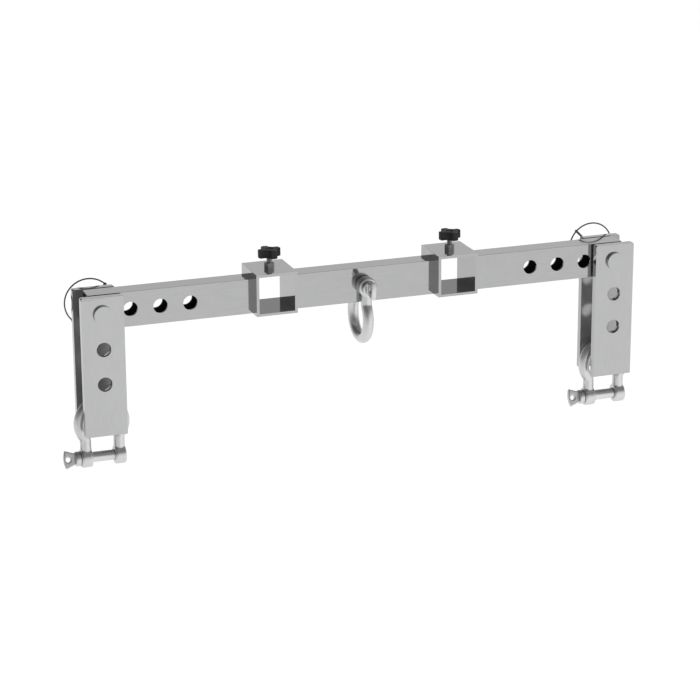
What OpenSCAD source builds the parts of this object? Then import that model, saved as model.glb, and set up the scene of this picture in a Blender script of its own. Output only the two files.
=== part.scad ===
// Spreader beam for a pair of lifting forks: three lengths of rectangular tube welded to two
// square fork sleeves, a bow shackle at the middle, and at each end a pinned twin-plate hanger
// that carries a second bow shackle.
//
// Millimetres, +Z up, +X along the beam, +Y from the front of the beam to its back.
// The origin is half way between the axes of the two fork sleeves.

/* [Beam] */
// Overall length of the welded beam
beam_l = 800; // [780:5:840]
// Height of the beam tube
beam_h = 50; // [46:1:54]
// Depth of the beam tube, front to back
beam_d = 30; // [26:1:30]
// Wall of the beam tube
beam_wall = 3; // [2:0.5:4]
// Distance between neighbouring adjustment holes
hole_pitch = 42.7; // [36:0.1:44]
// Diameter of the adjustment holes in beam and hangers
hole_d = 20.5; // [20.2:0.1:22]

/* [Fork sleeves] */
// Distance between the axes of the two sleeves
sleeve_spacing = 271; // [240:1:300]
// Outside width and height of a sleeve
sleeve_w = 60; // [56:1:66]
// Wall of a sleeve
sleeve_wall = 4; // [3:0.5:5]
// Length of a sleeve, front to back
sleeve_l = 69; // [60:1:90]

/* [Clamp screws] */
// Thread diameter of the clamp stud
stud_d = 8; // [6:1:8]
// Height of the welded nut
nut_h = 7.5; // [5:0.5:8]
// Width of the nut across its flats
nut_flats = 13; // [13:1:14]
// Diameter over the lobes of the knob
knob_d = 33; // [28:1:36]
// Height of the knob's lobes
knob_h = 11.5; // [9:0.5:14]
// Free height between the nut and the knob
knob_gap = 8; // [6:0.5:12]

/* [Hangers] */
// Distance between the two clevis pins
pin_spacing = 767; // [740:1:772]
// Height of a hanger plate
plate_h = 200; // [190:1:220]
// Width of a hanger plate
plate_w = 60; // [50:1:64]
// Thickness of a hanger plate
plate_t = 10; // [8:1:10]
// Clear distance between the two plates of a hanger
plate_gap = 38; // [37:0.5:38]
// Distance from the pin axis up to the top of the plates
plate_top = 25; // [24:1:30]
// Distance between the three holes of a plate
plate_pitch = 50; // [40:1:52]

/* [Clevis pins] */
// Diameter of a clevis pin
clevis_d = 20; // [18:0.5:20]
// Diameter of its head
clevis_head_d = 26; // [24:1:32]
// Thickness of its head
clevis_head_t = 5; // [3:0.5:6]
// Distance from the middle of the beam to the linch pin behind the hanger
linch_y = 42; // [38:0.5:44]

/* [Linch pins] */
// Diameter of the linch pin's rod
rod_d = 3.6; // [3.4:0.1:5]
// Mean radius of the spring ring
ring_r = 34; // [31:0.5:35]
// Diameter of the ring's wire
ring_wire = 2.2; // [1.8:0.1:2.4]
// How far the left linch pin has slid through towards its tip
left_linch_slip = 2.5; // [-12:0.5:12]
// How far the right linch pin has slid through towards its tip
right_linch_slip = -8; // [-12:0.5:12]

/* [Shackles] */
// Diameter of the bow's bar
bow_d = 16; // [14:0.5:16]
// Width between the eyes
jaw_w = 32; // [32:0.5:34]
// Width inside the bow
bow_w = 48; // [46:1:50]
// Distance from the pin axis to the centre of the bow's round
bow_round_h = 50; // [48:1:52]
// Diameter of the shackle pin
shackle_pin_d = 15; // [13:0.5:16]
// Outside diameter of the eyes
eye_d = 27; // [25:0.5:30]

/* [Hidden] */
$fn = 96;

LEFT = -1;
RIGHT = 1;
FRONT = -1;
BACK = 1;
over = 1;            // how far a cutting shape runs past the face that it cuts

steel = [0.72, 0.73, 0.73];
plate_steel = [0.75, 0.76, 0.76];
shackle_steel = [0.66, 0.67, 0.67];
spring_steel = [0.35, 0.36, 0.37];
black_plastic = [0.08, 0.08, 0.09];

// beam and sleeves
beam_z = (beam_h - sleeve_w) / 2;          // undersides of beam and sleeves are flush
sleeve_x = sleeve_spacing / 2;
arm_x0 = sleeve_x + sleeve_w / 2;
arm_l = beam_l / 2 - arm_x0;
centre_l = sleeve_spacing - sleeve_w;
pin_x = pin_spacing / 2;
free_holes = 3;                            // adjustment holes inboard of the clevis pin
tube_corner = 0.3;

// clamp screws
sleeve_top = sleeve_w / 2;
nut_top = sleeve_top + nut_h;
knob_z = nut_top + knob_gap;
stud_tip_z = sleeve_top - sleeve_wall + 0.3;
stud_socket = 8;                           // depth that the stud is moulded into the knob
thread_gap = 0.1;                          // radial clearance of the stud in its nut
lobe_flute_r = 9;
lobe_flute_x = 19.5;
knob_turn = 12;                            // the lobes' angle as the screws were left

// hangers
plate_out = plate_gap / 2 + plate_t;
plate_top_r = 2.5;
plate_hole_rows = 3;
bow_rest_gap = 0.3;                        // daylight between bow and bar
bar_d = 20;

// clevis and linch pins
clevis_end_y = linch_y + 7;
clevis_chamfer = 1.5;
rod_hole_gap = 0.25;
ring_hole_d = ring_wire + 0.3;
rod_past_ring = 2;
ring_tilt = asin((rod_d / 2 + ring_wire / 2 + 0.3) / (2 * ring_r));

// shackles: straight legs, an outward sweep, then the round of the bow
bow_r = (bow_w + bow_d) / 2;               // centre line of the round
leg_x = (jaw_w + bow_d) / 2;
eye_w = bow_d;
eye_chamfer = 1.5;
sweep_r = 9;
sweep_angle = acos((leg_x + sweep_r) / (bow_r + sweep_r));
leg_h = bow_round_h - (bow_r + sweep_r) * sin(sweep_angle);
bend_ball_d = bow_d + 0.15;                // a ball inside each change of bend joins the bars
bow_inner_h = bow_round_h + bow_w / 2;
eye_hole_d = shackle_pin_d + 1;
hanger_shackle_z = beam_z - 214;
bar_z = hanger_shackle_z + bow_inner_h - bow_rest_gap - bar_d / 2;
collar_d = 21;
collar_l = 8;
tab_l = 16.5;
tab_t = 7;
tab_root_h = 16;
tab_end_h = 27.5;
tab_hole_d = 7;
tab_hole_x = 10;
tab_crown = 34;                            // radius of the tab's outer edge
hanger_tab_turn = -20;                     // how far the lower pins' tabs lean to the back

// ---- shared shapes ----

// A rectangle with round corners, centred on the origin
module rounded_rect(w, h, r) {
    square([w - 2 * r, h], center = true);
    square([w, h - 2 * r], center = true);
    for (x = [-1, 1], y = [-1, 1])
        translate([x * (w / 2 - r), y * (h / 2 - r)]) circle(r = r, $fn = 32);
}

// A rectangular tube that runs up from the origin
module box_tube(l, w, h, wall) {
    linear_extrude(l) difference() {
        rounded_rect(w, h, tube_corner);
        rounded_rect(w - 2 * wall, h - 2 * wall, tube_corner / 2);
    }
}

// A round bar along Y, from y0 to y1
module bar_y(d, y0, y1) {
    translate([0, y1, 0]) rotate([90, 0, 0]) cylinder(d = d, h = y1 - y0);
}

// ---- beam ----

// A length of beam tube from x0, with a round hole through front and back at each x in holes
module beam_tube(x0, l, holes, d) {
    difference() {
        translate([x0, 0, beam_z]) rotate([90, 0, 90]) box_tube(l, beam_d, beam_h, beam_wall);
        for (x = holes) translate([x, 0, beam_z]) bar_y(d, -beam_d / 2 - over, beam_d / 2 + over);
    }
}

// The hole positions of one arm: the clevis pin's, then the free ones towards the sleeve
function arm_holes(side) = [for (i = [0:free_holes]) side * (pin_x - i * hole_pitch)];

module beam_left_arm() {
    color(steel) beam_tube(-beam_l / 2, arm_l, arm_holes(LEFT), hole_d);
}

module beam_right_arm() {
    color(steel) beam_tube(arm_x0, arm_l, arm_holes(RIGHT), hole_d);
}

module beam_centre_section() {
    color(steel) beam_tube(-centre_l / 2, centre_l, [0], eye_hole_d);
}

// ---- fork sleeves and their clamp screws ----

module fork_sleeve(side) {
    color(steel) translate([side * sleeve_x, 0, 0]) difference() {
        translate([0, sleeve_l / 2, 0]) rotate([90, 0, 0])
            box_tube(sleeve_l, sleeve_w, sleeve_w, sleeve_wall);
        cylinder(d = stud_d + 1, h = sleeve_w);
    }
}

module weld_nut(side) {
    color(steel) translate([side * sleeve_x, 0, sleeve_top]) difference() {
        cylinder(d = nut_flats / cos(30), h = nut_h, $fn = 6);
        translate([0, 0, -over]) cylinder(r = stud_d / 2 + thread_gap, h = nut_h + 2 * over);
    }
}

module clamp_stud(side) {
    color(steel) translate([side * sleeve_x, 0, stud_tip_z])
        cylinder(d = stud_d, h = knob_z + stud_socket - stud_tip_z);
}

// Four lobes with round flutes between them, over a blind socket for the stud
module clamp_knob(side) {
    color(black_plastic) translate([side * sleeve_x, 0, knob_z]) difference() {
        rotate(knob_turn) linear_extrude(knob_h) difference() {
            circle(d = knob_d);
            for (a = [45:90:315]) rotate(a) translate([lobe_flute_x, 0]) circle(r = lobe_flute_r);
        }
        translate([0, 0, -over])
            cylinder(r = stud_d / 2 + thread_gap, h = stud_socket + thread_gap + over);
    }
}

// ---- hangers ----

module plate_outline() {
    low = plate_top - plate_h;
    translate([-plate_w / 2, low]) square([plate_w, plate_h - plate_top_r]);
    translate([plate_top_r - plate_w / 2, low]) square([plate_w - 2 * plate_top_r, plate_h]);
    for (x = [-1, 1])
        translate([x * (plate_w / 2 - plate_top_r), plate_top - plate_top_r])
            circle(r = plate_top_r);
}

module hanger_plate(side, face) {
    back_y = face == FRONT ? -plate_gap / 2 : plate_out;
    color(plate_steel) translate([side * pin_x, back_y, beam_z]) rotate([90, 0, 0])
        linear_extrude(plate_t) difference() {
            plate_outline();
            for (i = [0:plate_hole_rows - 1]) translate([0, -i * plate_pitch]) circle(d = hole_d);
        }
}

module shackle_bar(side) {
    color(plate_steel) translate([side * pin_x, 0, bar_z]) bar_y(bar_d, -plate_gap / 2, plate_gap / 2);
}

// ---- clevis pins with their linch pins ----

// Turns local +X along the linch pin's rod, from its head to its tip
module along_rod(side) {
    translate([side * pin_x, linch_y, beam_z]) rotate([0, side == LEFT ? 135 : 45, 0]) children();
}

// Distance of the ring's centre from the clevis pin, towards the rod's tip
function ring_centre(side) = side == LEFT ? left_linch_slip : right_linch_slip;

module clevis_pin(side) {
    color(plate_steel) difference() {
        translate([side * pin_x, 0, beam_z]) {
            bar_y(clevis_head_d, -plate_out - clevis_head_t, -plate_out);
            bar_y(clevis_d, -plate_out - clevis_head_t / 2, clevis_end_y - clevis_chamfer);
            translate([0, clevis_end_y, 0]) rotate([90, 0, 0])
                cylinder(d1 = clevis_d - 2 * clevis_chamfer, d2 = clevis_d, h = clevis_chamfer);
        }
        along_rod(side) rotate([0, 90, 0])
            cylinder(r = rod_d / 2 + rod_hole_gap, h = clevis_d + 2 * over, center = true);
    }
}

module linch_pin(side) {
    head_x = ring_centre(side) - ring_r;
    color(spring_steel) along_rod(side) difference() {
        translate([head_x - rod_past_ring, 0, 0]) rotate([0, 90, 0])
            cylinder(d = rod_d, h = 2 * (ring_r + rod_past_ring));
        translate([head_x, 0, 0]) cylinder(d = ring_hole_d, h = rod_d + 2 * over, center = true);
    }
}

// The ring passes through the head of the rod and snaps over the back of its tip
module linch_ring(side) {
    color(spring_steel) along_rod(side) translate([ring_centre(side) - ring_r, 0, 0])
        rotate([0, 0, ring_tilt]) translate([ring_r, 0, 0]) rotate([90, 0, 0])
            rotate_extrude() translate([ring_r, 0]) circle(d = ring_wire, $fn = 24);
}

// ---- shackles: pin along X with its head at -X, bow towards +Z ----

// A bend of the bow's bar: radius r about the origin, from angle a0 through sweep
module bar_bend(r, a0, sweep) {
    rotate([90, 0, 0]) mirror([0, 0, 1]) rotate([0, 0, a0]) rotate_extrude(angle = sweep)
        translate([r, 0]) circle(d = bow_d);
}

// An eye with eased edges, from the origin along +X
module shackle_eye() {
    r = eye_d / 2;
    rotate([90, 0, 90]) rotate_extrude()
        polygon([[0, 0], [r - eye_chamfer, 0], [r, eye_chamfer],
                 [r, eye_w - eye_chamfer], [r - eye_chamfer, eye_w], [0, eye_w]]);
}

module shackle_bow() {
    color(shackle_steel) difference() {
        union() {
            translate([0, 0, bow_round_h])
                bar_bend(bow_r, -sweep_angle, 180 + 2 * sweep_angle);
            for (side = [LEFT, RIGHT]) {
                translate([side * leg_x, 0, 0]) cylinder(d = bow_d, h = leg_h);
                translate([side * (leg_x + sweep_r), 0, leg_h])
                    bar_bend(sweep_r, side == LEFT ? 0 : 180 - sweep_angle, sweep_angle);
                translate([side * leg_x, 0, leg_h]) sphere(d = bend_ball_d);
                translate([side * bow_r * cos(sweep_angle), 0, bow_round_h - bow_r * sin(sweep_angle)])
                    sphere(d = bend_ball_d);
                translate([side * leg_x - eye_w / 2, 0, 0]) shackle_eye();
            }
        }
        translate([-leg_x - eye_w, 0, 0]) rotate([0, 90, 0])
            cylinder(d = eye_hole_d, h = 2 * (leg_x + eye_w));
    }
}

// A flat fan, widest at its crowned outer edge; x runs outwards from the collar
module pin_tab() {
    translate([0, tab_t / 2, 0]) rotate([90, 0, 0]) linear_extrude(tab_t) difference() {
        intersection() {
            polygon([[-over, -tab_root_h / 2], [tab_l, -tab_end_h / 2],
                     [tab_l, tab_end_h / 2], [-over, tab_root_h / 2]]);
            translate([tab_l - tab_crown, 0]) circle(r = tab_crown);
        }
        translate([tab_hole_x, 0]) circle(d = tab_hole_d);
    }
}

// turn is the angle of the tab about the pin
module shackle_pin(turn) {
    eye_face = leg_x + eye_w / 2;
    color(shackle_steel) {
        translate([-eye_face - collar_l / 2, 0, 0]) rotate([0, 90, 0])
            cylinder(d = shackle_pin_d, h = 2 * eye_face + collar_l / 2);
        translate([-eye_face - collar_l, 0, 0]) rotate([0, 90, 0])
            cylinder(d = collar_d, h = collar_l - thread_gap);
        translate([-eye_face - collar_l, 0, 0]) rotate([turn, 0, 0]) mirror([1, 0, 0]) pin_tab();
    }
}

// Place a shackle on the bar of a hanger, or upside down across the middle of the beam
module at_hanger(side) { translate([side * pin_x, 0, hanger_shackle_z]) children(); }
module at_beam_middle() { translate([0, 0, beam_z]) rotate([180, 0, 90]) children(); }

// ---- nodes ----

beam_left_arm();
beam_centre_section();
beam_right_arm();
fork_sleeve(LEFT);  // left_fork_sleeve
fork_sleeve(RIGHT);  // right_fork_sleeve
weld_nut(LEFT);  // left_weld_nut
weld_nut(RIGHT);  // right_weld_nut
clamp_stud(LEFT);  // left_clamp_stud
clamp_stud(RIGHT);  // right_clamp_stud
clamp_knob(LEFT);  // left_clamp_knob
clamp_knob(RIGHT);  // right_clamp_knob
hanger_plate(LEFT, FRONT);  // left_front_plate
hanger_plate(LEFT, BACK);  // left_back_plate
shackle_bar(LEFT);  // left_shackle_bar
hanger_plate(RIGHT, FRONT);  // right_front_plate
hanger_plate(RIGHT, BACK);  // right_back_plate
shackle_bar(RIGHT);  // right_shackle_bar
clevis_pin(LEFT);  // left_clevis_pin
clevis_pin(RIGHT);  // right_clevis_pin
linch_pin(LEFT);  // left_linch_pin
linch_pin(RIGHT);  // right_linch_pin
linch_ring(LEFT);  // left_linch_ring
linch_ring(RIGHT);  // right_linch_ring
at_hanger(LEFT) shackle_bow();  // left_shackle_bow
at_hanger(RIGHT) shackle_bow();  // right_shackle_bow
at_beam_middle() shackle_bow();  // centre_shackle_bow
at_hanger(LEFT) shackle_pin(hanger_tab_turn);  // left_shackle_pin
at_hanger(RIGHT) shackle_pin(hanger_tab_turn);  // right_shackle_pin
at_beam_middle() shackle_pin(0);  // centre_shackle_pin
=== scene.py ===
"""Looks for the spreader beam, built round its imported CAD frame.

Lengths are in metres in the frame's own axes: +X along the beam, +Y to its back, +Z up.
Shapes are drawn in millimetres and scaled once, when their mesh is made.
"""
import math

import bpy
import bmesh
from mathutils import Matrix, Vector

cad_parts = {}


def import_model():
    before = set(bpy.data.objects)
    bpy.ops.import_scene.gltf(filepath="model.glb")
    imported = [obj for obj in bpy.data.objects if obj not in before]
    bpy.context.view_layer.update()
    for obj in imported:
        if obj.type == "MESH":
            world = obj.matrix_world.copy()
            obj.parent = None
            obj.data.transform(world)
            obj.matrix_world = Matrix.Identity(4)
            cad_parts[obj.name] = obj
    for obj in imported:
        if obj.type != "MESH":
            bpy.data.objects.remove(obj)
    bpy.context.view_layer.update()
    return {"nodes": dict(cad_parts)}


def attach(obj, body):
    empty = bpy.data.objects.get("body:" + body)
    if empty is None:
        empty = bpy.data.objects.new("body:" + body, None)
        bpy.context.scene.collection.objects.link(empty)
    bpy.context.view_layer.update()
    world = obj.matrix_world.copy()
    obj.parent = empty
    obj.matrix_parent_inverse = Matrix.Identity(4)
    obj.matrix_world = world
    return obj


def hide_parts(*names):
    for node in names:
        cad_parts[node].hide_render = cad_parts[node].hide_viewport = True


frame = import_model()
nodes = frame["nodes"]
MM = 0.001
SIDES = (("left", -1), ("right", 1))

# the sizes that the pieces below share with the CAD part, in millimetres
PIN_X, BEAM_Z, SLEEVE_X = 383.5, -5.0, 135.5
SHACKLE_Z = -219.0
BAR_D, EYE_D, EYE_W, LEG_X, ROUND_H, ROUND_R, NECK_R = 16.0, 27.0, 16.0, 24.0, 50.0, 32.0, 9.0
PIN_D, BORE_D = 15.0, 16.0
LINCH_Y, RING_R, WIRE_D, ROD_D = 42.0, 34.0, 2.2, 3.6
SLIP = {"left": 2.5, "right": -8.0}
NUT_Z, NUT_H, NUT_FLATS = 30.0, 7.5, 13.0
STUD_D, STUD_Z, KNOB_Z, KNOB_H, KNOB_D = 8.0, 26.3, 45.5, 11.5, 33.0
KNOB_TURN, SOCKET_H = 12, 8.0
COLLAR_R, COLLAR_T = 10.5, 8.0
TAB_L, TAB_T, TAB_HOLE_X, TAB_HOLE_R, TAB_LEAN = 16.45, 7.0, 10.0, 3.5, -20

# the second metallic value is used only in steel()'s patches of painted shade in hollows and gaps
METALLIC, METALLIC_PAINTED_SHADE = 0.93, 0.6
FINE_RELIEF = 0.0001  # depth of the bump in every material, in metres
FLOOR_Z, FLOOR_HALF = -0.9, 30


# ---------------------------------------------------------------- materials

def links(owner):
    """A maker of nodes and a maker of links for a new material or world, and a material's shader."""
    owner.use_nodes = True
    tree = owner.node_tree
    shader = tree.nodes.get("Principled BSDF")

    def add(kind, inputs=None, **settings):
        node = tree.nodes.new(kind)
        for key, value in settings.items():
            setattr(node, key, value)
        for key, value in (inputs or {}).items():
            if isinstance(value, bpy.types.NodeSocket):
                tree.links.new(value, node.inputs[key])
            else:
                node.inputs[key].default_value = value
        return node

    return add, tree.links.new, shader


def noise(add, at, scale, detail=2.0, **more):
    """Noise from 0 to 1 over a position."""
    inputs = {"Vector": at, "Scale": scale, "Detail": detail}
    inputs.update((key.title(), value) for key, value in more.items())
    return add("ShaderNodeTexNoise", inputs).outputs["Fac"]


def ranged(add, value, low, high, to_low=0.0, to_high=1.0):
    """A value moved from one range into another and held there."""
    return add("ShaderNodeMapRange", {"Value": value, "From Min": low, "From Max": high,
                                      "To Min": to_low, "To Max": to_high}).outputs[0]


def mixed(add, fac, one, two, how="MIX"):
    """Two colours mixed by a factor."""
    return add("ShaderNodeMixRGB", {"Fac": fac, "Color1": one, "Color2": two}, blend_type=how).outputs[0]


def maths(add, how, *values):
    """The result of an operation on one or two values."""
    return add("ShaderNodeMath", dict(enumerate(values)), operation=how).outputs[0]


def edge_wear(add):
    """How exposed each point is, from 0 in a hollow or on a flat to 1 on a sharp outer edge."""
    return ranged(add, add("ShaderNodeNewGeometry").outputs["Pointiness"], 0.51, 0.60)


def zinc(level):
    """The tint of zinc plating at a brightness."""
    return (level * 0.99, level, level * 0.995, 1)


def steel(name, shade, rough, grain=(1, 1, 1), bump=0.08, mottle=0.05, inside=None, worn_edges=False):
    """Zinc-plated steel: a faint rolling grain, cloudy patches in tone and gloss, and fine scratches.

    grain squeezes the noise along the axis that the metal was rolled or drawn in. inside names a hidden
    part of the surface by its middle and half size along some axes, in millimetres, and ends with the tone
    and the roughness painted in there: painted shade, a darker, duller patch that stands in for the light in
    a hollow or gap. worn_edges brightens the edges of a densely meshed piece."""
    mat = bpy.data.materials.new(name)
    add, link, shader = links(mat)
    at = add("ShaderNodeTexCoord").outputs["Object"]
    along = add("ShaderNodeMapping", {"Vector": at, "Scale": grain}).outputs["Vector"]
    cloud = noise(add, at, 38.0, 4.0, roughness=0.6)
    fine = noise(add, along, 900.0, 3.0, roughness=0.6)
    rub = ranged(add, noise(add, along, 260.0, 1.0, distortion=0.6), 0.62, 0.72)
    colour = mixed(add, cloud, zinc(shade * (1 - mottle)), zinc(shade * (1 + mottle)))
    colour = mixed(add, 1.0, colour, ranged(add, fine, 0.3, 0.7, 0.96, 1.04), "MULTIPLY")
    if worn_edges:
        rubbed = mixed(add, 1.0, colour, (1.2, 1.2, 1.2, 1), "MULTIPLY")
        colour = mixed(add, edge_wear(add), colour, rubbed)
    gloss = ranged(add, cloud, 0.3, 0.7, rough * 0.75, rough * 1.3)
    gloss = maths(add, "ADD", gloss, maths(add, "MULTIPLY", rub, 0.06))
    # painted shade: inside the given zone the tone, gloss and metallic are swapped for darker, duller values
    # that stand in for the shade in a hollow or gap
    if inside:
        *spans, painted_shade_tone, painted_shade_rough = inside
        near = None
        split = add("ShaderNodeSeparateXYZ", {"Vector": at}).outputs
        for axis, middle, half in spans:
            off = maths(add, "ABSOLUTE", split[axis]) if axis == "X" else split[axis]
            off = maths(add, "ABSOLUTE", maths(add, "SUBTRACT", off, middle * MM))
            test = maths(add, "LESS_THAN", off, half * MM)
            near = maths(add, "MULTIPLY", near, test) if near else test
        colour = mixed(add, near, colour, (painted_shade_tone, painted_shade_tone, painted_shade_tone, 1))
        gloss = ranged(add, near, 0.0, 1.0, gloss, painted_shade_rough)
        link(ranged(add, near, 0.0, 1.0, METALLIC, METALLIC_PAINTED_SHADE), shader.inputs["Metallic"])
    else:
        shader.inputs["Metallic"].default_value = METALLIC
    link(colour, shader.inputs["Base Color"])
    link(gloss, shader.inputs["Roughness"])
    relief = {"Strength": bump, "Distance": FINE_RELIEF}
    height = add("ShaderNodeBump", {"Height": fine, **relief}).outputs[0]
    height = add("ShaderNodeBump", {"Height": rub, "Normal": height, **relief}, invert=True).outputs[0]
    link(height, shader.inputs["Normal"])
    return mat


def moulded_black(name):
    """Black moulded plastic: a fine pebble, a soft sheen, worn edges and a little dust in the tone."""
    mat = bpy.data.materials.new(name)
    add, link, shader = links(mat)
    at = add("ShaderNodeTexCoord").outputs["Object"]
    dust = noise(add, at, 120.0, 4.0)
    tone = mixed(add, dust, (0.011, 0.011, 0.012, 1), (0.026, 0.026, 0.029, 1))
    tone = mixed(add, edge_wear(add), tone, (0.035, 0.035, 0.037, 1))
    link(tone, shader.inputs["Base Color"])
    link(ranged(add, dust, 0.3, 0.7, 0.42, 0.56), shader.inputs["Roughness"])
    shader.inputs["Specular IOR Level"].default_value = 0.2
    pebble = {"Height": noise(add, at, 2600.0), "Strength": 0.15, "Distance": FINE_RELIEF}
    link(add("ShaderNodeBump", pebble).outputs[0], shader.inputs["Normal"])
    return mat


# The inside zones below are painted shade: the beam tube's bore, the sleeves' inner floor and the hanger
# plates' inner faces get a darker, duller tone that stands in for the light in there.
TUBE = steel("tube_steel", 0.365, 0.08, grain=(0.06, 1, 1),
             inside=(("Y", 0.0, 12.6), ("Z", BEAM_Z, 22.6), 0.03, 0.7))
SLEEVE = steel("sleeve_steel", 0.365, 0.08, grain=(1, 0.06, 1),
               inside=(("X", SLEEVE_X, 26.2), ("Z", -26.0, 0.3), 0.13, 0.10))
PLATE = steel("plate_steel", 0.395, 0.10, grain=(1, 1, 0.06), inside=(("Y", 0.0, 19.2), 0.36, 0.16))
TURNED = steel("turned_steel", 0.40, 0.14, grain=(1, 0.3, 1), mottle=0.03)
NUT_STEEL = steel("nut_steel", 0.31, 0.25, bump=0.05)
SCREW = steel("screw_steel", 0.50, 0.2, bump=0.05)
FORGED = steel("forged_steel", 0.57, 0.30, bump=0.25, mottle=0.09, worn_edges=True)
SPRING = steel("spring_steel", 0.12, 0.25, bump=0.05)
BLACK = moulded_black("knob_plastic")


# ---------------------------------------------------------------- mesh helpers

def shift(x=0.0, y=0.0, z=0.0):
    return Matrix.Translation((x, y, z))


def spin(degrees, axis):
    return Matrix.Rotation(math.radians(degrees), 4, axis)


def mesh_of(name, points, faces):
    """A mesh from points in millimetres."""
    mesh = bpy.data.meshes.new(name)
    mesh.from_pydata([tuple(c * MM for c in p) for p in points], [], faces)
    mesh.update()
    return mesh


def lathe(profile, n=64):
    """Points and faces of a solid turned about Z from (radius, z) pairs that start and end on the axis."""
    points, faces, rings = [], [], []
    for r, z in profile:
        if r < 1e-6:
            rings.append([len(points)])
            points.append((0, 0, z))
        else:
            rings.append(range(len(points), len(points) + n))
            points += [(r * math.cos(2 * math.pi * k / n), r * math.sin(2 * math.pi * k / n), z)
                       for k in range(n)]
    for a, b in zip(rings, rings[1:]):
        for k in range(n):
            m = (k + 1) % n
            if len(a) == 1 and len(b) > 1:
                faces.append((a[0], b[m], b[k]))
            elif len(b) == 1 and len(a) > 1:
                faces.append((a[k], a[m], b[0]))
            elif len(a) > 1:
                faces.append((a[k], a[m], b[m], b[k]))
    return points, faces


def rounded(z0, r, z1, ease, steps=4):
    """A (radius, z) profile of a turned disc or barrel whose two outer edges are eased."""
    turn = [math.pi / 2 * k / steps for k in range(steps + 1)]
    return ([(r - ease + ease * math.sin(t), z0 + ease - ease * math.cos(t)) for t in turn]
            + [(r - ease + ease * math.cos(t), z1 - ease + ease * math.sin(t)) for t in turn])


def sweep(path, radius, n=28, closed=False):
    """Points and faces of a round bar along a flat path of (x, z) pairs in the plane y = 0."""
    points, faces, count = [], [], len(path)
    for i, (x, z) in enumerate(path):
        a = path[(i - 1) % count] if closed or i else path[0]
        b = path[(i + 1) % count] if closed or i < count - 1 else path[-1]
        tx, tz = b[0] - a[0], b[1] - a[1]
        size = math.hypot(tx, tz)
        nx, nz = -tz / size, tx / size
        for k in range(n):
            c, s = math.cos(2 * math.pi * k / n), math.sin(2 * math.pi * k / n)
            points.append((x + radius * c * nx, radius * s, z + radius * c * nz))
    for i in range(count if closed else count - 1):
        j = (i + 1) % count
        for k in range(n):
            m = (k + 1) % n
            faces.append((i * n + k, i * n + m, j * n + m, j * n + k))
    if not closed:
        faces += [tuple(range(n - 1, -1, -1)), tuple(range((count - 1) * n, count * n))]
    return points, faces


def outline_solid(name, loops, height, ease, steps=3):
    """A flat solid with eased edges from closed (x, y) loops, centred on z = 0. Later loops are holes."""
    curve = bpy.data.curves.new(name, "CURVE")
    curve.dimensions, curve.fill_mode = "2D", "BOTH"
    curve.extrude = (height / 2 - ease) * MM
    curve.bevel_depth, curve.bevel_resolution = ease * MM, steps
    curve.offset = -ease * MM
    for loop in loops:
        line = curve.splines.new("POLY")
        line.points.add(len(loop) - 1)
        for p, (x, y) in zip(line.points, loop):
            p.co = (x * MM, y * MM, 0, 1)
        line.use_cyclic_u = True
    holder = bpy.data.objects.new(name, curve)
    bpy.context.scene.collection.objects.link(holder)
    bpy.context.view_layer.update()
    mesh = bpy.data.meshes.new_from_object(holder.evaluated_get(bpy.context.evaluated_depsgraph_get()))
    bpy.data.objects.remove(holder)
    bm = bmesh.new()
    bm.from_mesh(mesh)
    bmesh.ops.remove_doubles(bm, verts=bm.verts, dist=1e-6)
    bmesh.ops.recalc_face_normals(bm, faces=bm.faces)
    bm.to_mesh(mesh)
    bm.free()
    mesh.name = name
    return mesh


def joined(name, *parts):
    """One mesh from (points, faces) pairs or (points, faces, matrix) triples, in millimetres."""
    points, faces = [], []
    for part in parts:
        place = part[2] if len(part) > 2 else Matrix.Identity(4)
        faces += [tuple(i + len(points) for i in f) for f in part[1]]
        points += [tuple(place @ Vector(p)) for p in part[0]]
    return mesh_of(name, points, faces)


def applied(mesh, *steps):
    """The mesh after modifiers, each given as (type, settings)."""
    holder = bpy.data.objects.new("holder", mesh)
    bpy.context.scene.collection.objects.link(holder)
    for kind, settings in steps:
        mod = holder.modifiers.new(kind, kind)
        for key, value in settings.items():
            setattr(mod, key, value)
    bpy.context.view_layer.update()
    done = bpy.data.meshes.new_from_object(holder.evaluated_get(bpy.context.evaluated_depsgraph_get()))
    done.name = mesh.name
    bpy.data.objects.remove(holder)
    return done


def cutter(mesh):
    """A hidden object that a boolean modifier can use. It goes once its cut is made."""
    obj = bpy.data.objects.new("cutter", mesh)
    bpy.context.scene.collection.objects.link(obj)
    return obj


def shaded(mesh, mat, sharp_deg=35):
    """Smooth shading except across edges sharper than sharp_deg, in one material."""
    mesh.materials.clear()
    mesh.materials.append(mat)
    mesh.polygons.foreach_set("use_smooth", [True] * len(mesh.polygons))
    mesh.set_sharp_from_angle(angle=math.radians(sharp_deg))
    return mesh


def piece(name, mesh, place, body, node):
    """Puts a copy of a finished mesh in place to stand for a CAD node. place is in millimetres."""
    place = place.copy()
    place.translation *= MM
    mesh = mesh.copy()
    mesh.transform(place)
    obj = bpy.data.objects.new(name, mesh)
    bpy.context.scene.collection.objects.link(obj)
    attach(obj, body)
    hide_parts(node)
    return obj


# ---------------------------------------------------------------- carried-over CAD nodes

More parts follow.
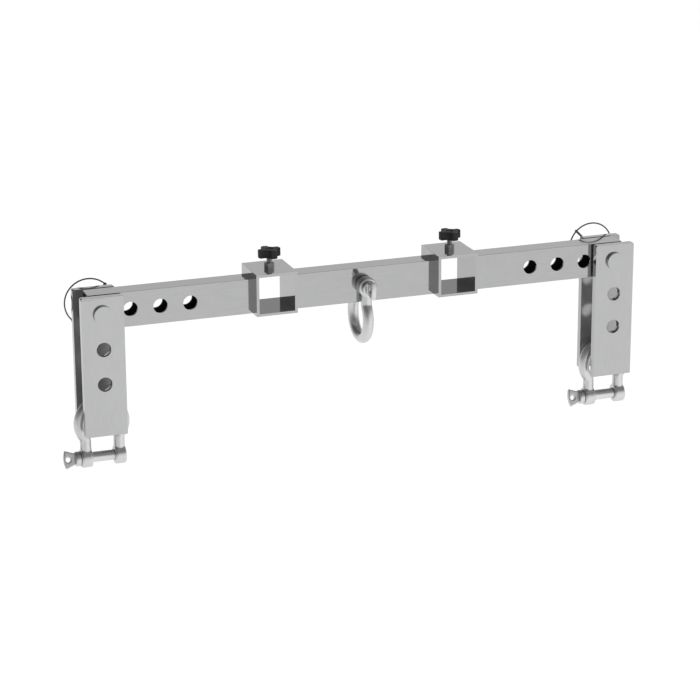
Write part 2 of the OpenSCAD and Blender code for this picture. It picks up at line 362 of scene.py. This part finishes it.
CARRIED = {
    "beam_left_arm": TUBE, "beam_centre_section": TUBE, "beam_right_arm": TUBE,
    "left_fork_sleeve": SLEEVE, "right_fork_sleeve": SLEEVE,
    "left_front_plate": PLATE, "left_back_plate": PLATE, "left_shackle_bar": TURNED,
    "right_front_plate": PLATE, "right_back_plate": PLATE, "right_shackle_bar": TURNED,
    "left_clevis_pin": TURNED, "right_clevis_pin": TURNED,
}
for name, mat in CARRIED.items():
    node = nodes[name]
    node.data.materials.clear()
    node.data.materials.append(mat)
    weld = node.modifiers.new("weld", "WELD")
    weld.merge_threshold = 1e-6
    flat = node.modifiers.new("flat_faces", "DECIMATE")
    flat.decimate_type, flat.angle_limit = "DISSOLVE", math.radians(1)
    ease = node.modifiers.new("eased_edges", "BEVEL")
    ease.width, ease.segments = 0.0002, 2
    ease.limit_method, ease.angle_limit = "ANGLE", math.radians(40)
    ease.harden_normals = True


# ---------------------------------------------------------------- shackles

def bow_mesh():
    """The bow, pin axis along X at the origin and the round of the bow upwards."""
    turn = math.acos((LEG_X + NECK_R) / (ROUND_R + NECK_R))
    leg_h = ROUND_H - (ROUND_R + NECK_R) * math.sin(turn)
    right = [(LEG_X, z) for z in (0, leg_h * 0.3, leg_h * 0.6, leg_h * 0.85)]
    right += [(LEG_X + NECK_R - NECK_R * math.cos(a), leg_h + NECK_R * math.sin(a))
              for a in (turn * k / 6 for k in range(7))]
    right += [(ROUND_R * math.cos(a), ROUND_H + ROUND_R * math.sin(a))
              for a in (-turn + (turn + math.pi / 2) * k / 24 for k in range(1, 25))]
    path = right + [(-x, z) for x, z in reversed(right[:-1])]
    eye = lathe([(0, -EYE_W / 2)] + rounded(-EYE_W / 2, EYE_D / 2, EYE_W / 2, 2.2) + [(0, EYE_W / 2)], 72)
    lay = spin(90, "Y")
    eyes = [(*eye, shift(side * LEG_X) @ lay) for side in (-1, 1)]
    solid = joined("shackle_bow", sweep(path, BAR_D / 2, 36), *eyes)
    solid = applied(solid, ("REMESH", {"mode": "VOXEL", "voxel_size": 0.75 * MM}),
                    ("SMOOTH", {"factor": 0.5, "iterations": 14}))
    r, face, far, flare = BORE_D / 2, LEG_X + EYE_W / 2, LEG_X + EYE_W, 0.8
    drill = [(0, -far), (r + flare + 8, -far), (r + flare, -face - 0.01), (r, -face + flare),
             (r, face - flare), (r + flare, face + 0.01), (r + flare + 8, far), (0, far)]
    tool = cutter(joined("drill", (*lathe(drill, 72), lay)))
    solid = applied(solid, ("BOOLEAN", {"operation": "DIFFERENCE", "object": tool, "solver": "EXACT"}))
    bpy.data.objects.remove(tool)
    return shaded(solid, FORGED)


def shackle_pin_mesh():
    """The screw pin, along X through the eyes, its drilled tab upright at the -X end."""
    face = LEG_X + EYE_W / 2
    lay = spin(90, "Y")
    root = -face - COLLAR_T
    collar = [(0, root), *rounded(root, COLLAR_R, -face, 1.6, 6)[:7],
              (COLLAR_R, -face - 0.1), (0, -face - 0.1)]
    tab = outline_solid("tab", [fan_loop(), circle_loop(TAB_HOLE_X, 0.0, TAB_HOLE_R, 40)], TAB_T, 1.2)
    tab.transform(Matrix.Diagonal((1 / MM, 1 / MM, 1 / MM, 1)))
    tab_part = ([tuple(v.co) for v in tab.vertices], [tuple(p.vertices) for p in tab.polygons],
                shift(root) @ spin(180, "Z") @ spin(90, "X"))
    head = applied(joined("shackle_pin", (*lathe(collar, 64), lay), tab_part),
                   ("REMESH", {"mode": "VOXEL", "voxel_size": 0.5 * MM}),
                   ("SMOOTH", {"factor": 0.5, "iterations": 8}))
    rod = threaded(PIN_D / 2, BORE_D / 2 - 0.25, -face - 2, face,
                   pitch=2.0, from_z=LEG_X - EYE_W / 2 + 0.5, chamfer=1.2)
    shank = joined("shank", (*rod, lay))
    both = bmesh.new()
    both.from_mesh(head)
    both.from_mesh(shank)
    both.to_mesh(head)
    both.free()
    return shaded(head, FORGED, 50)


def circle_loop(x, y, r, n=64):
    return [(x + r * math.cos(2 * math.pi * k / n), y + r * math.sin(2 * math.pi * k / n)) for k in range(n)]


def fan_loop():
    """The tab's outline: narrow at the collar, widest at its crowned outer edge. x runs outwards."""
    root, end, crown = 8.0, 13.15, 34.0
    arc = math.asin(end / crown)
    edge = [(TAB_L - crown + crown * math.cos(a), crown * math.sin(a))
            for a in (arc * (k / 8 - 1) for k in range(17))]
    low = [(-2.0, -root), (0.0, -root)]
    return low + edge + [(x, -y) for x, y in reversed(low)]


def threaded(r_core, r_crest, z0, z1, pitch, from_z, chamfer, n=48, per_turn=8):
    """A turned rod along Z, plain up to from_z and threaded from there to its chamfered end."""
    profile = [(0, z0), (r_core, z0), (r_core, from_z)]
    points, faces = lathe(profile, n)
    rows = int((z1 - chamfer * 0.4 - from_z) / pitch * per_turn)
    depth = r_crest - r_core
    last = list(range(len(points) - n, len(points)))
    for row in range(1, rows + 1):
        z = from_z + (z1 - chamfer * 0.4 - from_z) * row / rows
        fade = min(1.0, (z - from_z) / pitch)
        limit = r_crest - max(0.0, z - (z1 - chamfer))
        ring = []
        for k in range(n):
            a = 2 * math.pi * k / n
            tooth = 1 - abs(2 * ((z / pitch - k / n) % 1) - 1)
            r = min(r_core + depth * fade * min(1.0, 1.6 * tooth) - depth * 0.5 * (1 - tooth) * fade, limit)
            ring.append(len(points))
            points.append((r * math.cos(a), r * math.sin(a), z))
        faces += [(last[k], last[(k + 1) % n], ring[(k + 1) % n], ring[k]) for k in range(n)]
        last = ring
    tip = len(points)
    points.append((0, 0, z1))
    faces += [(last[k], last[(k + 1) % n], tip) for k in range(n)]
    return points, faces


BOW, SHACKLE_PIN = bow_mesh(), shackle_pin_mesh()
for name, side in SIDES:
    hang = shift(side * PIN_X, 0, SHACKLE_Z)
    piece(f"{name}_bow", BOW, hang, f"{name}_shackle_bow", f"{name}_shackle_bow")
    piece(f"{name}_screw_pin", SHACKLE_PIN, hang @ spin(TAB_LEAN, "X"),
          f"{name}_shackle_pin", f"{name}_shackle_pin")
middle = shift(z=BEAM_Z) @ spin(90, "Z") @ spin(180, "X")
piece("centre_bow", BOW, middle, "centre_shackle_bow", "centre_shackle_bow")
piece("centre_screw_pin", SHACKLE_PIN, middle, "centre_shackle_pin", "centre_shackle_pin")


# ---------------------------------------------------------------- clamp screws

def knob_mesh():
    """Four round lobes with hollow flutes between them, a shallow round recess in the middle of the top and
    a socket for the stud beneath.
    """
    r, flute_r, flute_x, n = KNOB_D / 2, 9.0, 19.5, 192
    loop = []
    for k in range(n):
        a = 2 * math.pi * k / n
        off = (a % (math.pi / 2)) - math.pi / 4
        reach = flute_r ** 2 - (flute_x * math.sin(off)) ** 2
        near = flute_x * math.cos(off) - math.sqrt(reach) if reach > 0 else r
        loop.append((min(r, near) * math.cos(a), min(r, near) * math.sin(a)))
    for _ in range(2):
        loop = [((p[0] + 2 * q[0] + s[0]) / 4, (p[1] + 2 * q[1] + s[1]) / 4)
                for p, q, s in zip(loop[-1:] + loop[:-1], loop, loop[1:] + loop[:1])]
    body = outline_solid("knob", [loop], KNOB_H, 0.5, 3)
    body.transform(shift(z=KNOB_H / 2 * MM) @ spin(KNOB_TURN, "Z"))
    fit, deep = STUD_D / 2 + 0.1, SOCKET_H + 0.1
    cuts = [lathe([(0, KNOB_H - 0.7), (5.2, KNOB_H - 0.7), (5.9, KNOB_H + 1), (0, KNOB_H + 1)], 64),
            lathe([(0, -1), (fit, -1), (fit, deep), (0, deep)], 48)]
    for cut in cuts:
        tool = cutter(joined("cut", cut))
        body = applied(body, ("BOOLEAN", {"operation": "DIFFERENCE", "object": tool, "solver": "EXACT"}))
        bpy.data.objects.remove(tool)
    return shaded(body, BLACK, 40)


def nut_mesh():
    """A hexagon weld nut, its top corners turned off, with a chamfered bore."""
    across = NUT_FLATS / math.sqrt(3) * MM
    bm = bmesh.new()
    bmesh.ops.create_cone(bm, cap_ends=True, segments=6, radius1=across, radius2=across, depth=NUT_H * MM)
    bmesh.ops.transform(bm, matrix=shift(z=NUT_H / 2 * MM) @ spin(30, "Z"), verts=bm.verts)
    mesh = bpy.data.meshes.new("weld_nut")
    bm.to_mesh(mesh)
    bm.free()
    top, throat = NUT_H + 0.5, STUD_D / 2 + 0.1
    outside = [(0, -1), (9, -1), (9, NUT_H - 1.3), (6.2, NUT_H), (0, NUT_H)]
    inside = [(0, -1), (throat, -1), (throat, NUT_H - 0.6), (5.2, top), (0, top)]
    turned = cutter(joined("turned", lathe(outside, 96)))
    bore = cutter(joined("bore", lathe(inside, 48)))
    mesh = applied(mesh, ("BOOLEAN", {"operation": "INTERSECT", "object": turned, "solver": "EXACT"}))
    mesh = applied(mesh, ("BOOLEAN", {"operation": "DIFFERENCE", "object": bore, "solver": "EXACT"}))
    bpy.data.objects.remove(turned)
    bpy.data.objects.remove(bore)
    return shaded(mesh, NUT_STEEL, 30)


stud = threaded(STUD_D / 2 - 0.65, STUD_D / 2, 0, KNOB_Z + SOCKET_H - STUD_Z,
                pitch=1.25, from_z=0.2, chamfer=0.8, n=32)
STUD = shaded(joined("stud", stud), SCREW, 60)
KNOB, NUT = knob_mesh(), nut_mesh()
for name, side in SIDES:
    axis = side * SLEEVE_X
    piece(f"{name}_knob", KNOB, shift(axis, 0, KNOB_Z),
          f"{name}_clamp_knob", f"{name}_clamp_knob")
    piece(f"{name}_stud", STUD, shift(axis, 0, STUD_Z),
          f"{name}_clamp_stud", f"{name}_clamp_stud")
    piece(f"{name}_nut", NUT, shift(axis, 0, NUT_Z), "beam", f"{name}_weld_nut")


# ---------------------------------------------------------------- linch pins

def rod_mesh():
    """The rod along X with eased ends, drilled across near its -X end for the ring."""
    half = RING_R + 2.0
    profile = [(0, -half), (1.3, -half), (1.8, -half + 0.3), (ROD_D / 2, -half + 0.7)]
    profile += [(ROD_D / 2, half - 1.4), (1.3, half - 0.4), (0.8, half), (0, half)]
    rod = joined("rod", (*lathe(profile, 32), spin(90, "Y")))
    drill = lathe([(0, -4), (1.25, -4), (1.25, 4), (0, 4)], 24)
    hole = cutter(joined("hole", (*drill, shift(-RING_R))))
    rod = applied(rod, ("BOOLEAN", {"operation": "DIFFERENCE", "object": hole, "solver": "EXACT"}))
    bpy.data.objects.remove(hole)
    return shaded(rod, SPRING)


ring = sweep(circle_loop(0, 0, RING_R, 144), WIRE_D / 2, 16, closed=True)
RING = shaded(joined("ring", ring), SPRING)
ROD = rod_mesh()
tilt = math.degrees(math.asin((ROD_D / 2 + WIRE_D / 2 + 0.3) / (2 * RING_R)))
flip = shift(-RING_R) @ spin(tilt, "Z") @ shift(RING_R)
for name, side in SIDES:
    along = shift(side * PIN_X, LINCH_Y, BEAM_Z) @ spin(135 if side < 0 else 45, "Y") @ shift(SLIP[name])
    piece(f"{name}_linch_rod", ROD, along, f"{name}_linch_pin", f"{name}_linch_pin")
    piece(f"{name}_spring_ring", RING, along @ flip,
          f"{name}_linch_ring", f"{name}_linch_ring")


# ---------------------------------------------------------------- floor, light and camera

def stage():
    """A pale floor with a glow of its own, brightest in front of the beam and to its right."""
    mesh = bpy.data.meshes.new("floor")
    corners = [(x * FLOOR_HALF, y * FLOOR_HALF, FLOOR_Z) for x, y in ((-1, -1), (1, -1), (1, 1), (-1, 1))]
    mesh.from_pydata(corners, [], [(0, 1, 2, 3)])
    floor = bpy.data.objects.new("floor", mesh)
    bpy.context.scene.collection.objects.link(floor)
    mat = bpy.data.materials.new("pale_floor")
    add, link, shader = links(mat)
    at = add("ShaderNodeTexCoord").outputs["Object"]
    tone = mixed(add, noise(add, at, 3.0), (0.90, 0.90, 0.90, 1), (0.93, 0.93, 0.93, 1))
    link(tone, shader.inputs["Base Color"])
    shader.inputs["Roughness"].default_value = 1.0
    shader.inputs["Specular IOR Level"].default_value = 0.0
    shader.inputs["Emission Color"].default_value = (1, 1, 1, 1)
    spot = add("ShaderNodeSeparateXYZ", {"Vector": at}).outputs
    in_front = ranged(add, spot["X"], -0.7, 0.2, 0.6, 1.0)
    link(ranged(add, spot["Y"], -1.6, 0.4, in_front, 0.77), shader.inputs["Emission Strength"])
    mesh.materials.append(mat)


def world():
    """A studio that is white at and below the horizon and greyer overhead and to the left."""
    studio = bpy.data.worlds.new("studio")
    bpy.context.scene.world = studio
    add, link, _ = links(studio)
    background = studio.node_tree.nodes["Background"]
    way = add("ShaderNodeSeparateXYZ", {"Vector": add("ShaderNodeTexCoord").outputs["Generated"]}).outputs
    sky = add("ShaderNodeValToRGB", {"Fac": way["Z"]})
    ramp = sky.color_ramp.elements
    ramp[0].color, ramp[1].color = (1.15, 1.15, 1.15, 1), (0.30, 0.30, 0.30, 1)
    for height, level in ((0.15, 1.05), (0.307, 0.77), (0.45, 0.36), (0.60, 0.24)):
        ramp.new(height).color = (level, level, level, 1)
    link(sky.outputs[0], background.inputs["Color"])
    link(ranged(add, way["X"], -0.25, 0.2, 0.35, 1.0), background.inputs["Strength"])


def lamp(name, at, size, watts):
    """A square lamp aimed at the beam that no mirror-like surface shows."""
    data = bpy.data.lights.new(name, "AREA")
    data.size, data.energy = size, watts
    obj = bpy.data.objects.new(name, data)
    bpy.context.scene.collection.objects.link(obj)
    obj.location = at
    obj.rotation_euler = (Vector((0, 0, -0.1)) - obj.location).to_track_quat("-Z", "Y").to_euler()
    obj.visible_glossy = False
    obj.visible_camera = False


def camera():
    """The viewing angle: left of the beam's front, a little above it, at a long focal length."""
    a, e, roll = math.radians(19.593), math.radians(17.875), math.radians(0.2545)
    ahead = Vector((math.sin(a) * math.cos(e), math.cos(a) * math.cos(e), -math.sin(e)))
    right = Vector((math.cos(a), -math.sin(a), 0))
    up = right.cross(ahead)
    x = right * math.cos(roll) - up * math.sin(roll)
    y = right * math.sin(roll) + up * math.cos(roll)
    data = bpy.data.cameras.new("camera")
    data.sensor_width, data.lens = 36, 130.51
    data.clip_start, data.clip_end = 0.1, 100
    cam = bpy.data.objects.new("camera", data)
    bpy.context.scene.collection.objects.link(cam)
    cam.matrix_world = Matrix(((x.x, y.x, -ahead.x, -1.1739), (x.y, y.y, -ahead.y, -3.2520),
                               (x.z, y.z, -ahead.z, 1.0082), (0, 0, 0, 1)))
    bpy.context.scene.camera = cam


stage()
world()
lamp("soft_top", (-0.6, -1.0, 2.6), 2.5, 20)
camera()
bpy.context.scene.view_settings.view_transform = "Standard"
